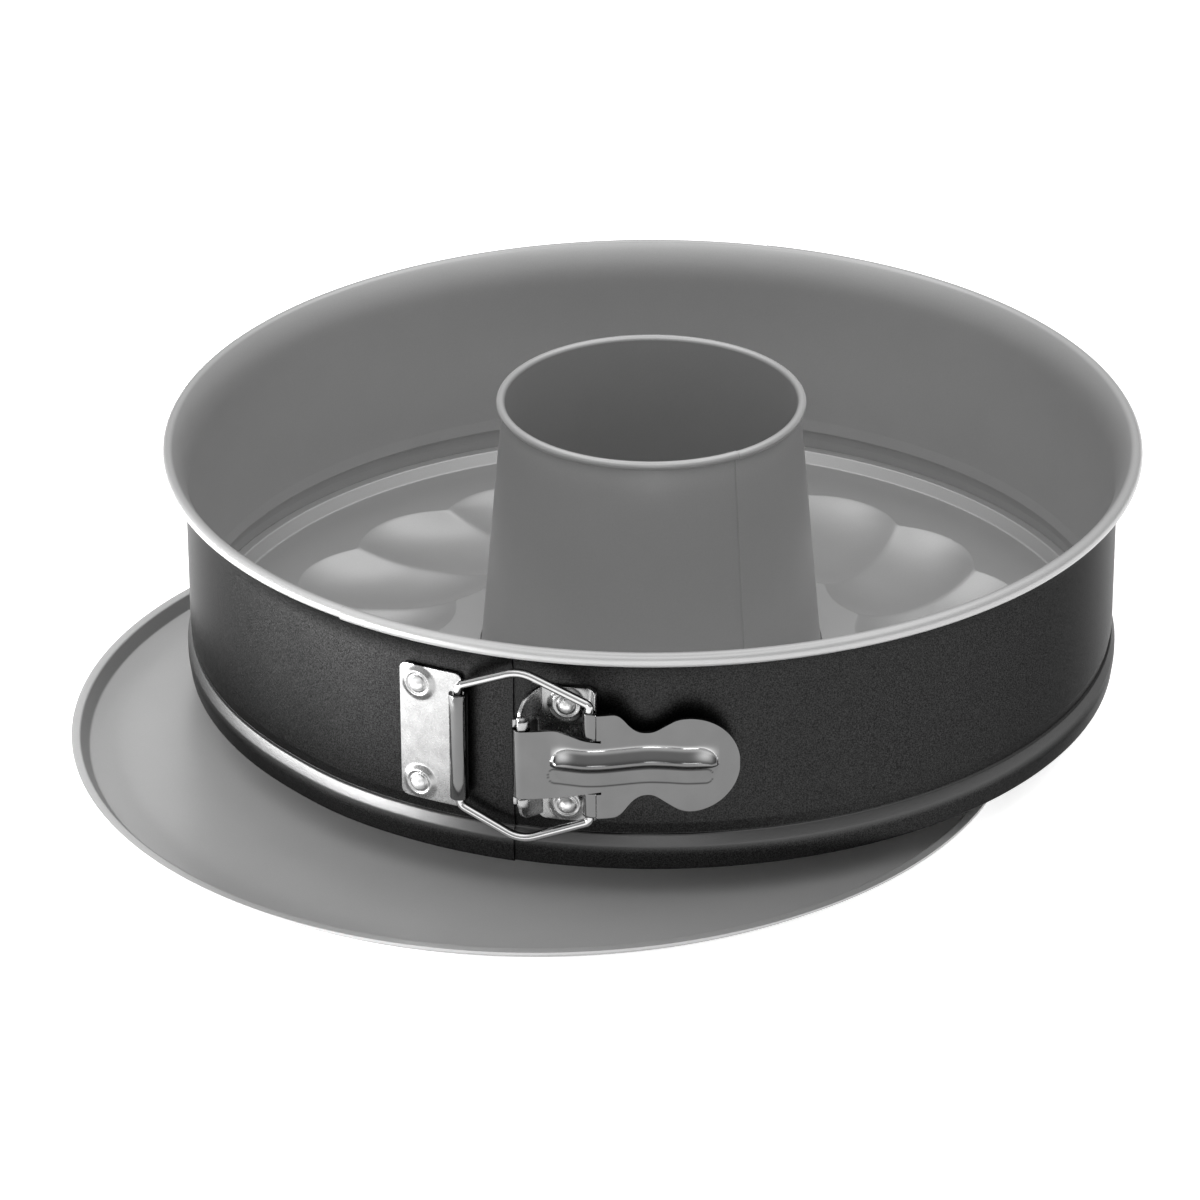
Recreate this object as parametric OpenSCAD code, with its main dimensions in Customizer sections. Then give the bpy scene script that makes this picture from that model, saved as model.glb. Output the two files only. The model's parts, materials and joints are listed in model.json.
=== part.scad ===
// Springform ring pan with a tube base, a clasp at the front and a spare flat base under it.
// Millimetres. The ring's axis is x = y = 0, the table is z = 0, the clasp's pivot is at -Y.
// Angles round the ring are counted from -Y towards +X.

/* [Ring] */
// Outer radius of the straight wall
wall_r = 127.4; // [90:0.1:180]
// Sheet thickness of the ring
band_t = 0.6; // [0.4:0.1:1.2]
// Height of the ring's lower edge above the table
ring_z = 9.8; // [8:0.1:14]
// Height of the rim roll's centre above the ring's lower edge
rim_h = 63.4; // [45:0.1:90]
// Radius of the rim roll
bead_r = 1.9; // [1.2:0.1:3]
// How far the rim roll's centre stands outside the wall
bead_out = 4.7; // [3:0.1:7]
// Height over which the wall flares into the rim
flare_h = 10; // [6:0.5:16]
// Height of the groove's upper ledge above the lower edge
groove_h = 11.4; // [8:0.1:16]
// How far the groove bulges outside the wall
groove_out = 2.1; // [1:0.1:3]
// Radial gap between the two sheets where they overlap
lap_gap = 0.3; // [0.2:0.05:0.6]
// Angle of the inner sheet's end
tongue_angle = -22; // [-35:0.5:-12]
// Angle of the outer sheet's end
seam_angle = -1.2; // [-3:0.1:-0.5]

/* [Tube base] */
// Sheet thickness of both bases
base_t = 0.7; // [0.5:0.1:1.2]
// Height of the floor above the ring's lower edge
floor_h = 1.0; // [0.5:0.1:3]
// Rise from the floor to the rim of a base
land_h = 3.3; // [2:0.1:5]
// Width of a base's flat rim
land_w = 2.5; // [1.5:0.1:4]
// Width of the slope between rim and floor
riser_w = 2.2; // [1:0.1:4]
// Number of pressed lobes round the floor
lobe_count = 18; // [12:1:24]
// Depth of a lobe at its middle
lobe_depth = 5.8; // [3:0.1:8]
// Depth of the ridge between two lobes
ridge_depth = 4.2; // [1:0.1:6]
// How far the ridges turn from their outer to their inner end
lobe_swirl = -10; // [-20:1:20]
// Turn of the first ridge
lobe_turn = 0.4; // [0:0.1:20]
// Radius where the ridges start
cusp_r = 102.5; // [80:0.5:115]
// Radius where the ridges end
core_r = 60; // [52:0.5:75]

/* [Centre tube] */
// Outer radius of the tube at the floor
tube_foot_r = 47.3; // [35:0.1:60]
// Outer radius of the tube at its top
tube_top_r = 40.6; // [30:0.1:55]
// Height of the tube's rim above the ring's lower edge
tube_h = 74.4; // [55:0.1:100]
// Radius of the tube's rim roll
tube_bead_r = 1.2; // [0.8:0.1:2]
// Sheet thickness of the tube
tube_t = 0.7; // [0.5:0.1:1.2]

/* [Flat base] */
// Direction in which the spare base sticks out from under the pan
flat_angle = -28.2; // [-180:0.1:180]

/* [Clasp] */
// Height of the clasp's middle above the ring's lower edge
clasp_h = 33.4; // [25:0.5:45]
// Angle of the lever's pivot
pivot_angle = 0.6; // [-1:0.1:2]
// How far the lever's pivot stands outside the wall
pivot_out = 7.6; // [7:0.1:9]
// Angle of the hinge barrel on the outer sheet
barrel_angle = -7.3; // [-10:0.1:-5]
// Angle of the lever's knuckles
knuckle_angle = 8; // [6:0.1:11]
// Radius of the wire
wire_r = 1.05; // [0.8:0.05:1.5]
// Radius of the pivot pin
pin_r = 1.25; // [0.9:0.05:1.8]
// Running clearance of a pin or wire in its bore
run_gap = 0.05; // [0.02:0.01:0.09]
// Thickness of the plates
plate_t = 1.0; // [0.7:0.1:1.4]
// Half height of the two plates
plate_half = 19.3; // [15:0.1:24]
// Distance of a rivet from the clasp's middle
rivet_z = 14.4; // [10:0.1:18]
// Radius of a rivet's shank
rivet_r = 1.5; // [1:0.1:2.5]
// Radius of a rivet's head
rivet_head_r = 3.0; // [2:0.1:4]
// Thickness of the lever's sheet
lever_t = 0.9; // [0.7:0.1:1.4]
// How far the lever's rib stands proud
rib_out = 1.2; // [0.5:0.1:2]
// How far the lever opens
lever_open = 160; // [90:1:165]

/* [Hidden] */
$fn = 180;

band_paint = [0.17, 0.17, 0.18];
coat_grey = [0.52, 0.52, 0.53];
steel = [0.82, 0.82, 0.84];

// Heights above the table
rim_z = ring_z + rim_h;
floor_z = ring_z + floor_h;
land_z = floor_z + land_h;
clasp_z = ring_z + clasp_h;
tube_z = ring_z + tube_h;

// The band's section
flare_out = bead_out - bead_r + band_t;
flare_r = (flare_h * flare_h + flare_out * flare_out) / (2 * flare_out);
flare_angle = asin(flare_h / flare_r);
flare_steps = 6;
lap_flare_angle = asin((flare_h - 0.85 * bead_r) / flare_r);
lip_in = 2.2;
groove_shares = [[-0.1, 0.03], [0.5, 0.105], [0.86, 0.2], [1, 0.315], [1, 0.72],
    [0.76, 0.87], [0.33, 0.96], [0, 1]];
lap = lap_gap + band_t;
bead_hollow_r = bead_r - band_t;

// Stations of the band's ends
rear_gap_angle = 0.07;
end_gap_angle = 0.3;
joggle_angle = 1.2;

// The bases
seat_gap = 0.3;
base_r = wall_r + groove_out - band_t - seat_gap;
tube_hole_r = tube_foot_r + seat_gap;
scallop_out = 5.3;
scallop_in = 3;
wall_power = 2.5;
lobe_sides = 6;
lobe_steps = [1, 0.86, 0.6, 0.3, 0, -0.3, -0.6, -0.86, -1];
flange_w = 2.7;
lobe_mid_r = (cusp_r + scallop_out + core_r - scallop_in) / 2;
flat_away = base_r - land_w - lobe_mid_r;

// The clasp's axes in plan
function at_station(s, r) = [r * sin(s), -r * cos(s)];
barrel_r = 2.4;
plate_weld = 0.3;
roll_r = 2.3;
knuckle_r = 1.7;
lever_in = 1.4;
pivot_r = wall_r + pivot_out;
lever_r = pivot_r - lever_in;
barrel_axis_r = wall_r + lap + plate_t + barrel_r - plate_weld;
knuckle_axis_r = lever_r + lever_t - knuckle_r;
pivot = at_station(pivot_angle, pivot_r);
barrel = at_station(barrel_angle, barrel_axis_r);
knuckle = at_station(knuckle_angle, knuckle_axis_r);
rear_out = 0.5;
rear_pivot = [0, wall_r + bead_out + bead_r + rear_out];
bail_reach = norm(knuckle - barrel);
lever_arm = norm(knuckle - pivot);
function heading(v) = atan2(v[1], v[0]);
function turned(v, a) = [v[0] * cos(a) - v[1] * sin(a), v[0] * sin(a) + v[1] * cos(a)];

// Where the knuckles are when the lever is open, and the band's turn that brings the barrel
// back to the wire's length from them, found by halving
knuckle_open = pivot + turned(knuckle - pivot, -lever_open);
function barrel_at(g) = rear_pivot + turned(barrel - rear_pivot, -g);
function band_turn(lo, hi, n) = let (mid = (lo + hi) / 2) n == 0 ? mid :
    norm(knuckle_open - barrel_at(mid)) > bail_reach ? band_turn(lo, mid, n - 1)
    : band_turn(mid, hi, n - 1);
band_open = band_turn(0, 12, 40);
bail_heading = heading(knuckle - barrel);
bail_open = bail_heading - heading(knuckle_open - barrel_at(band_open)) - band_open;

// The wire
barrel_half = 15.1;
wire_root_z = 17.3;
wire_root_bend = 2.2;
wire_bend_x = 17;
wire_bend_z = 24.3;
wire_bow = 0.9;
wire_bend_r = 5;
wire_tip_z = 16.9;
wire_tip_bend = 1.6;
knuckle_top = 15;
knuckle_foot = 8.5;
wire_end_z = knuckle_top + 0.4;
wire_sides = 20;
wire_shy = 0.01;
bend_steps = 6;

// The lever
tongue_half = 9.8;
tongue_end = 15.8;
neck_half = 7.2;
shoulder_end = 26.2;
shoulder_chamfer = 3.4;
waist_x = 33.8;
waist_half = 8.9;
tab_x = 42.6;
tab_r = 13.1;
rib_from = 9;
rib_to = 50;
rib_half = 5.2;

// The plates
hinge_plate_w = 17.8;
hinge_rivet_in = 3.35;
hinge_plate_angle = barrel_angle - asin(hinge_plate_w / 2 / (wall_r + lap + plate_t));
hinge_rivet_angle = hinge_plate_angle - asin(hinge_rivet_in / wall_r);
bracket_w = 15;
bracket_away = 10.1;
bracket_angle = pivot_angle + asin(bracket_away / wall_r);
bracket_rivet_angle = bracket_angle;
plate_corner = 2;
ear_away = [3.1, 7.1];
ear_foot = 10.2;
ear_t = 2;
ear_r = 2.3;
pin_head_t = 0.8;
pin_head_r = 2;
rivet_head_h = 1.5;
rivet_back_t = 0.5;

echo(pivot_xy = pivot, barrel_xy = barrel, knuckle_xy = knuckle, rear_pivot_xy = rear_pivot);
echo(band_open = band_open, bail_open = bail_open, lever_open = lever_open);
echo(band_ratio = band_open / lever_open, bail_ratio = bail_open / lever_open);
echo(clasp_z = clasp_z, rim_z = rim_z, floor_z = floor_z, tube_z = tube_z);

// A path moved sideways, to its right as it runs
function side(a, b) = let (d = b - a) [d[1], -d[0]] / norm(d);
function moved_path(p, d) = [for (i = [0:len(p) - 1])
    let (n1 = side(p[max(i - 1, 0)], p[max(i, 1)]),
        n2 = side(p[min(i, len(p) - 2)], p[min(i + 1, len(p) - 1)]))
    p[i] + d * (n1 + n2) / (1 + n1 * n2)];
function backwards(p) = [for (i = [len(p) - 1:-1:0]) p[i]];

// The outside of the band's section, from its lower lip up to the rim
function groove_path() = concat(
    [[wall_r - lip_in, ring_z], [wall_r - lip_in / 2, ring_z]],
    [for (p = groove_shares) [wall_r + p[0] * groove_out, ring_z + p[1] * groove_h]]);
function flare_path(top) = [for (i = [0:flare_steps]) let (a = top * i / flare_steps)
    [wall_r - band_t + flare_r - (flare_r - band_t) * cos(a),
        rim_z - flare_h + (flare_r - band_t) * sin(a)]];
function band_path(top) = concat(groove_path(), flare_path(top));
function lap_path() = let (p = band_path(lap_flare_angle)) [for (i = [3:len(p) - 1]) p[i]];

module sheet(path, from, to) {
    polygon(concat(moved_path(path, to), backwards(moved_path(path, from))));
}

module rim_roll(r, hollow_r) {
    difference() {
        circle(r, $fn = 48);
        circle(hollow_r, $fn = 48);
        translate([-r, -r]) square(r * 0.55);
    }
}

module band_section() {
    sheet(band_path(flare_angle), -band_t, 0);
    translate([wall_r + bead_out, rim_z]) rim_roll(bead_r, bead_hollow_r);
}

// A section swept from one station to another
module swept(from, to) {
    rotate([0, 0, from - 90]) rotate_extrude(angle = to - from) children();
}

// A cylinder through the wall at a station, from one radius to another
module radial(station, z, r, from, to) {
    rotate([0, 0, station]) translate([0, -from, z]) rotate([90, 0, 0])
        cylinder(r = r, h = to - from, $fn = 48);
}

// An outline in x and z, bent round the ring between two radii
module bent_plate(station, from, to) {
    rotate([0, 0, station]) intersection() {
        translate([0, 0, clasp_z - 2 * plate_half]) difference() {
            cylinder(r = to, h = 4 * plate_half);
            translate([0, 0, -1]) cylinder(r = from, h = 4 * plate_half + 2);
        }
        translate([0, 0, clasp_z]) rotate([90, 0, 0]) linear_extrude(2 * wall_r) children();
    }
}

module rounded_box(half_w, half_h, r) {
    union() {
        square([2 * half_w, 2 * (half_h - r)], center = true);
        square([2 * (half_w - r), 2 * half_h], center = true);
        for (x = [-1, 1], y = [-1, 1])
            translate([x * (half_w - r), y * (half_h - r)]) circle(r, $fn = 48);
    }
}

module rivet_holes(station) {
    for (z = [-rivet_z, rivet_z])
        radial(station, clasp_z + z, rivet_r + run_gap, wall_r - 5, wall_r + 5);
}

// The ring's right half, with the inner sheet of the overlap
module band_right() {
    color(band_paint) difference() {
        swept(tongue_angle, 180 - rear_gap_angle) band_section();
        rivet_holes(bracket_rivet_angle);
    }
}

// The ring's left half, stepped outwards where it lies over the inner sheet
module band_left() {
    lap_start = tongue_angle - end_gap_angle;
    color(band_paint) difference() {
        union() {
            swept(rear_gap_angle - 180, lap_start - joggle_angle / 2) band_section();
            swept(lap_start - joggle_angle, lap_start) sheet(lap_path(), -band_t, lap);
            swept(lap_start - joggle_angle / 2, seam_angle) sheet(lap_path(), lap_gap, lap);
        }
        rivet_holes(hinge_rivet_angle);
    }
}

// The plate on the left half, rolled round the wire at its free edge
module hinge_plate() {
    color(steel) difference() {
        union() {
            bent_plate(hinge_plate_angle, wall_r + lap, wall_r + lap + plate_t)
                rounded_box(hinge_plate_w / 2, plate_half, plate_corner);
            translate([barrel[0], barrel[1], clasp_z])
                cylinder(r = barrel_r, h = 2 * barrel_half, center = true, $fn = 64);
        }
        translate([barrel[0], barrel[1], clasp_z])
            cylinder(r = wire_r + run_gap, h = 4 * plate_half, center = true, $fn = 64);
        rivet_holes(hinge_rivet_angle);
    }
}

module rivet(station, z, back, front) {
    color(steel) {
        radial(station, z, rivet_r, back, front + run_gap);
        rotate([0, 0, station]) translate([0, -front - run_gap, z]) rotate([90, 0, 0])
            intersection() {
                cylinder(r = rivet_head_r, h = rivet_head_h, $fn = 48);
                translate([0, 0, rivet_head_h - 1.1 * rivet_head_r])
                    sphere(1.1 * rivet_head_r, $fn = 48);
            }
    }
}

module hinge_rivet_upper() {
    rivet(hinge_rivet_angle, clasp_z + rivet_z, wall_r + lap_gap + run_gap,
        wall_r + lap + plate_t);
}

module hinge_rivet_lower() {
    rivet(hinge_rivet_angle, clasp_z - rivet_z, wall_r + lap_gap + run_gap,
        wall_r + lap + plate_t);
}

module bracket_rivet(z) {
    rivet(bracket_rivet_angle, z, wall_r - band_t - run_gap, wall_r + plate_t);
    color(steel) radial(bracket_rivet_angle, z, rivet_head_r,
        wall_r - band_t - run_gap - rivet_back_t, wall_r - band_t - run_gap);
}

module bracket_rivet_upper() {
    bracket_rivet(clasp_z + rivet_z);
}

module bracket_rivet_lower() {
    bracket_rivet(clasp_z - rivet_z);
}

// The wire's upper arm: its corners, measured from the barrel along the arm and up, the bend
// at each, and rings of points round the wire from inside the barrel to the knuckle
wire_path = [[0, barrel_half - 1, 0], [0, wire_root_z, wire_root_bend],
    [wire_bend_x, wire_bend_z, wire_bend_r], [bail_reach, wire_tip_z, wire_tip_bend],
    [bail_reach, wire_end_z, 0]];
function flat(p) = [p[0], p[1]];
function unit(v) = v / norm(v);
function leg_way(i) = unit(flat(wire_path[i + 1] - wire_path[i]));
function wire_turn(i) = let (u = leg_way(i - 1), v = leg_way(i))
    atan2(u[0] * v[1] - u[1] * v[0], u * v);
function wire_ring(p, way, r) = [for (k = [0:wire_sides - 1]) let (t = 360 * k / wire_sides)
    [p[0] - r * cos(t) * sin(way), p[1] + r * cos(t) * cos(way),
        r * sin(t) + 4 * wire_bow * p[0] * (bail_reach - p[0]) / (bail_reach * bail_reach)]];
function bend_rings(i, r) = let (turn = wire_turn(i), u = leg_way(i - 1),
        from = flat(wire_path[i]) - wire_path[i][2] * tan(abs(turn) / 2) * u,
        out = wire_path[i][2] * sign(turn) * [u[1], -u[0]])
    [for (k = [0:bend_steps]) wire_ring(from - out + turned(out, turn * k / bend_steps),
        heading(u) + turn * k / bend_steps, r)];
function wire_rings(r) = concat([wire_ring(wire_path[0], heading(leg_way(0)), r)],
    bend_rings(1, r), bend_rings(2, r), bend_rings(3, r),
    [wire_ring(wire_path[4], heading(leg_way(3)), r)]);

module swept_wire(rings) {
    n = wire_sides;
    last = len(rings) - 1;
    walls = [for (k = [0:last - 1]) for (i = [0:n - 1]) let (j = (i + 1) % n)
        [k * n + j, k * n + i, (k + 1) * n + i, (k + 1) * n + j]];
    polyhedron([for (ring = rings) for (p = ring) p], concat(walls,
        [[for (i = [0:n - 1]) i], [for (i = [n - 1:-1:0]) last * n + i]]));
}

// The wire between the barrel and the lever's knuckles, one loop open at the knuckles
module bail() {
    color(steel) translate([barrel[0], barrel[1], clasp_z]) {
        cylinder(r = wire_r, h = 2 * barrel_half + 1, center = true, $fn = 64);
        for (up = [0, 1]) mirror([0, 0, up]) rotate([0, 0, bail_heading]) rotate([90, 0, 0])
            swept_wire(wire_rings(wire_r - wire_shy));
    }
}

// The plate on the right half, with two ears that carry the lever's pin
module bracket() {
    foot = at_station(pivot_angle + asin(ear_away[0] / wall_r), wall_r + plate_t / 2);
    heel = at_station(pivot_angle + asin(ear_away[1] / wall_r), wall_r + plate_t / 2);
    color(steel) difference() {
        union() {
            bent_plate(bracket_angle, wall_r, wall_r + plate_t)
                rounded_box(bracket_w / 2, plate_half, plate_corner);
            for (up = [0, 1]) translate([0, 0, clasp_z]) mirror([0, 0, up])
                translate([0, 0, ear_foot]) linear_extrude(ear_t) {
                    polygon([pivot - [0, ear_r], pivot + [0, ear_r], foot, heel]);
                    translate(pivot) circle(ear_r, $fn = 64);
                }
        }
        translate([pivot[0], pivot[1], clasp_z])
            cylinder(r = pin_r + run_gap, h = 4 * plate_half, center = true, $fn = 64);
        rivet_holes(bracket_rivet_angle);
    }
}

// The lever's pin, headed at both ends
module pivot_pin() {
    reach = ear_foot + ear_t + run_gap;
    color(steel) translate([pivot[0], pivot[1], clasp_z]) {
        cylinder(r = pin_r, h = 2 * reach, center = true, $fn = 64);
        for (up = [0, 1]) mirror([0, 0, up]) translate([0, 0, reach])
            cylinder(r = pin_head_r, h = pin_head_t, $fn = 64);
    }
}

module lever_outline() {
    chamfer_x = shoulder_end + shoulder_chamfer;
    chamfer_z = knuckle_top - shoulder_chamfer;
    tab_flank = tab_r * 0.9;
    translate([pivot[0], -tongue_half]) square([tongue_end - pivot[0], 2 * tongue_half]);
    translate([tongue_end - lever_t, -neck_half])
        square([shoulder_end - tongue_end, 2 * neck_half]);
    polygon([[knuckle[0], knuckle_top], [shoulder_end, knuckle_top], [chamfer_x, chamfer_z],
        [waist_x, waist_half], [tab_x, tab_flank], [tab_x, -tab_flank],
        [waist_x, -waist_half], [chamfer_x, -chamfer_z], [shoulder_end, -knuckle_top],
        [knuckle[0], -knuckle_top]]);
    translate([tab_x, 0]) circle(tab_r, $fn = 96);
}

module rib_outline(inset) {
    translate([(rib_from + rib_to) / 2, 0])
        rounded_box((rib_to - rib_from) / 2 - inset, rib_half - inset, rib_half - inset - 0.01);
}

// The lever, bent round the ring, with its pivot roll, two knuckles and a pressed rib
module lever() {
    color(steel) difference() {
        union() {
            bent_plate(0, lever_r, lever_r + lever_t) lever_outline();
            bent_plate(0, lever_r + lever_t / 2, lever_r + lever_t + rib_out) rib_outline(0);
            translate([pivot[0], pivot[1], clasp_z])
                cylinder(r = roll_r, h = 2 * tongue_half, center = true, $fn = 64);
            for (up = [0, 1]) translate([knuckle[0], knuckle[1], clasp_z]) mirror([0, 0, up])
                translate([0, 0, knuckle_foot])
                    cylinder(r = knuckle_r, h = knuckle_top - knuckle_foot, $fn = 64);
        }
        bent_plate(0, lever_r - 1, lever_r + rib_out) rib_outline(lever_t);
        translate([pivot[0], pivot[1], clasp_z])
            cylinder(r = pin_r + run_gap, h = 4 * tongue_half, center = true, $fn = 64);
        for (up = [0, 1]) translate([knuckle[0], knuckle[1], clasp_z]) mirror([0, 0, up])
            translate([0, 0, knuckle_foot + 1]) cylinder(r = wire_r + run_gap, h = 20, $fn = 64);
    }
}

// The tube base's upper surface: rings of points from its edge to the tube, each [radius, z]
lobe_cells = lobe_count * lobe_sides;
function cell_share(i) = abs(2 * (i % lobe_sides) / lobe_sides - 1);
function bulge(i) = 1 - cell_share(i) * cell_share(i);
function lobe_r(q, i) = let (out = cusp_r + scallop_out * bulge(i),
    in = core_r - scallop_in * bulge(i)) (out + in) / 2 + q * (out - in) / 2;
function lobe_z(q, i) = floor_z - (ridge_depth + (lobe_depth - ridge_depth) * bulge(i))
    * (1 - pow(abs(q), wall_power));
function ridge_turn(r) = lobe_turn
    + lobe_swirl * min(1, max(0, (cusp_r - r) / (cusp_r - core_r)));
function ring_point(r, z, i) = let (a = ridge_turn(r) + 360 * i / lobe_cells)
    [r * cos(a), r * sin(a), z];
function even_ring(r, z) = [for (i = [0:lobe_cells - 1]) ring_point(r, z, i)];
function lobe_ring(q) = [for (i = [0:lobe_cells - 1])
    ring_point(lobe_r(q, i), lobe_z(q, i), i)];
relief_rings = concat([even_ring(base_r, land_z), even_ring(base_r - land_w, land_z),
        even_ring(base_r - land_w - riser_w, floor_z)],
    [for (q = lobe_steps) lobe_ring(q)], [even_ring(tube_hole_r, floor_z)]);
function lowered(ring) = [for (p = ring) p - [0, 0, base_t]];
relief_loop = concat(relief_rings, [for (k = [len(relief_rings) - 1:-1:0])
    lowered(relief_rings[k])]);

// The floor with its pressed lobes and its raised rim, one sheet of even thickness
module base_disc() {
    rows = len(relief_loop);
    points = [for (ring = relief_loop) for (p = ring) p];
    faces = [for (k = [0:rows - 1]) for (i = [0:lobe_cells - 1])
        let (j = (i + 1) % lobe_cells, m = (k + 1) % rows,
            a = k * lobe_cells + i, b = k * lobe_cells + j,
            c = m * lobe_cells + j, d = m * lobe_cells + i)
        for (f = [[a, b, c], [a, c, d]]) f];
    color(coat_grey) polyhedron(points, faces);
}

// The tapered tube, rolled outwards at its top and flanged under the floor
module centre_tube() {
    low = floor_z - base_t - tube_t;
    color(coat_grey) rotate_extrude() {
        polygon([[tube_foot_r - tube_t, low], [tube_foot_r + flange_w, low],
            [tube_foot_r + flange_w, low + tube_t], [tube_foot_r, low + tube_t],
            [tube_top_r, tube_z], [tube_top_r - tube_t, tube_z]]);
        translate([tube_top_r + tube_bead_r - tube_t - 0.02, tube_z])
            mirror([1, 0]) rim_roll(tube_bead_r, tube_bead_r - tube_t / 2);
    }
}

// The spare base, flat but for its raised rim
module flat_base() {
    top = [[0, base_t], [base_r - land_w - riser_w, base_t], [base_r - land_w, base_t + land_h],
        [base_r, base_t + land_h]];
    low = [for (p = top) p - [0, base_t]];
    color(coat_grey) rotate([0, 0, flat_angle]) translate([0, -flat_away, 0])
        rotate_extrude() polygon(concat(top, backwards(low)));
}

band_right();
band_left();
hinge_plate();
hinge_rivet_upper();
hinge_rivet_lower();
bail();
bracket();
bracket_rivet_upper();
bracket_rivet_lower();
pivot_pin();
lever();
base_disc();
centre_tube();
flat_base();
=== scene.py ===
"""Springform ring pan with a fluted tube base, a clasp at the front and a spare flat base."""

import json
import math

import bmesh
import bpy
import numpy as np
from bpy.props import FloatProperty, FloatVectorProperty, IntProperty, PointerProperty
from mathutils import Matrix, Vector


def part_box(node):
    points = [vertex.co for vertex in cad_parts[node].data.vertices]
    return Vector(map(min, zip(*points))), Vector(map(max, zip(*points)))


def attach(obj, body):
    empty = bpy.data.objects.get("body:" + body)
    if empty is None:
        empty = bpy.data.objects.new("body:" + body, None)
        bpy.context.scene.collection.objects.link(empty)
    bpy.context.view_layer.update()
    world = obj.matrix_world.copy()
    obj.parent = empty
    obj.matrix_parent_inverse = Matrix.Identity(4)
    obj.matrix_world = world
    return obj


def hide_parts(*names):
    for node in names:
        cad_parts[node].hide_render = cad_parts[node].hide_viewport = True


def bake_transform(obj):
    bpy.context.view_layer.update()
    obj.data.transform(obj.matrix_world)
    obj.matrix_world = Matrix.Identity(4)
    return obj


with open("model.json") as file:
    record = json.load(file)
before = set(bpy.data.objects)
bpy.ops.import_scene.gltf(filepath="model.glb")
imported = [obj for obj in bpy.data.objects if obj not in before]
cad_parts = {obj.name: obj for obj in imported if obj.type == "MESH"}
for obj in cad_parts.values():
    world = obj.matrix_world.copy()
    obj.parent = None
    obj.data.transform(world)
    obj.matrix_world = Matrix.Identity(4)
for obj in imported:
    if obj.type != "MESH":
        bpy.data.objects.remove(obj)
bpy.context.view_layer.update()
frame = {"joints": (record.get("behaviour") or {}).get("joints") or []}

bl_info = {
    "name": "Springform Ring Pan",
    "version": (1, 0, 0),
    "blender": (4, 5, 0),
    "location": "3D View > Sidebar > Ring Pan",
    "description": "Springform ring pan with a fluted floor, a tube, a wire clasp and a spare base",
    "category": "Object",
}

MM = 0.001

# How near two points are that become one, in millimetres
WELD = 0.02
FLOOR_WELD = 0.01
FINE_WELD = 0.001

# Radii as good as none, which the weld closes to a point
POLE_R = 0.001
SPARE_POLE_R = 0.01

# The ring, in millimetres: radii from its axis, heights above the table
RING_FOOT = 9.8
BEAD_R = 1.9
BEAD_AXIS_R = 132.08
BEAD_AXIS_Z = 73.2
FLARE_START_Z = 63.2
FLARE_R = 18.31
FLARE_TURN = 37.5
TONGUE_END = -22.0
LAP_START = -35.0
LAP_FULL = -22.3
LEFT_BEAD_END = -22.06
LEFT_BEAD_R = 1.72
SEAM = -1.2
REAR_SEAM = 180.0
LAP_STEP = 0.66
LAP_OUTER_R = 131.0
LAP_OVERLAP = 1.6

# The bases
FLOOR_Z = 10.8
LAND_RISE = 3.3
LAND_W = 2.5
RISER_W = 2.2
BASE_R = 127.6
SPARE_R = 128.5

# The clasp: its axes come from the frame's joints
JOINTS = {joint["name"]: Vector(joint["pos_m"]) / MM for joint in frame["joints"] if "pos_m" in joint}
CLASP_Z = JOINTS["lever_open"].z
PIVOT = JOINTS["lever_open"].xy
BARREL = JOINTS["bail_swing"].xy
KNUCKLE_STATION = 8.0
KNUCKLE_AXIS_R = 132.8
KNUCKLE = (
    KNUCKLE_AXIS_R * math.sin(math.radians(KNUCKLE_STATION)),
    -KNUCKLE_AXIS_R * math.cos(math.radians(KNUCKLE_STATION)),
)


def length(name, default, description):
    """A length that a user may change, given in millimetres."""
    metres = default * MM
    return FloatProperty(
        name=name, description=description, default=metres, min=0, subtype="DISTANCE", unit="LENGTH"
    )


def colour(name, level, description):
    """A colour that a user may change, grey at first."""
    grey = (level, level, level)
    return FloatVectorProperty(
        name=name, description=description, default=grey, size=3, min=0, max=1, subtype="COLOR"
    )


class RINGPAN_PG_sizes(bpy.types.PropertyGroup):
    """Sizes of the pan's sheet parts and of its clasp"""

    lobes: IntProperty(
        name="Flutes", description="Number of flutes round the tube", default=18, min=3, max=60
    )
    lobe_depth: length("Flute Depth", 5.8, "Depth of a flute under the flat of the floor")
    ridge_depth: length("Ridge Depth", 4.2, "Depth of the ridge between two flutes")
    band_thickness: length("Band Thickness", 0.6, "Thickness of the ring's sheet")
    base_thickness: length("Base Thickness", 0.7, "Thickness of both bases' sheet")
    tube_foot: length("Tube Foot Radius", 47.3, "Outer radius of the tube at the floor")
    tube_top: length("Tube Top Radius", 40.6, "Outer radius of the tube under its rolled edge")
    wire_radius: length("Wire Radius", 1.18, "Radius of the clasp's wire")
    rib_rise: length("Rib Height", 2.0, "How far the pressed rib stands out of the lever")
    boss_rise: length("Boss Height", 0.95, "How far the plates are dished up round a rivet")


class RINGPAN_PG_finishes(bpy.types.PropertyGroup):
    """Colours of the pan's finishes"""

    grey_coat: colour("Grey Coat", 0.38, "Non-stick coat inside the ring and on the bases")
    black_coat: colour("Black Coat", 0.023, "Coat outside the ring")
    # Colour of the painted highlight along the groove's shoulder
    groove_highlight: colour("Rubbed Groove", 0.075, "Black coat where the groove is rubbed bright")
    steel: colour("Steel", 0.125, "Polished steel of the lever and the hinge roll")
    plating: colour("Plating", 0.31, "Plated steel of the riveted plates")
    wire: colour("Wire", 0.46, "Drawn wire of the clasp")
    rivets: colour("Rivets", 0.7, "Heads of the rivets")
    floor: colour("Floor", 0.94, "Card that the pan stands on")


def size(name):
    """One of the user's sizes, in millimetres."""
    return getattr(bpy.context.scene.ringpan_sizes, name) / MM


def finishes():
    """The user's colours."""
    return bpy.context.scene.ringpan_finishes


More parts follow.
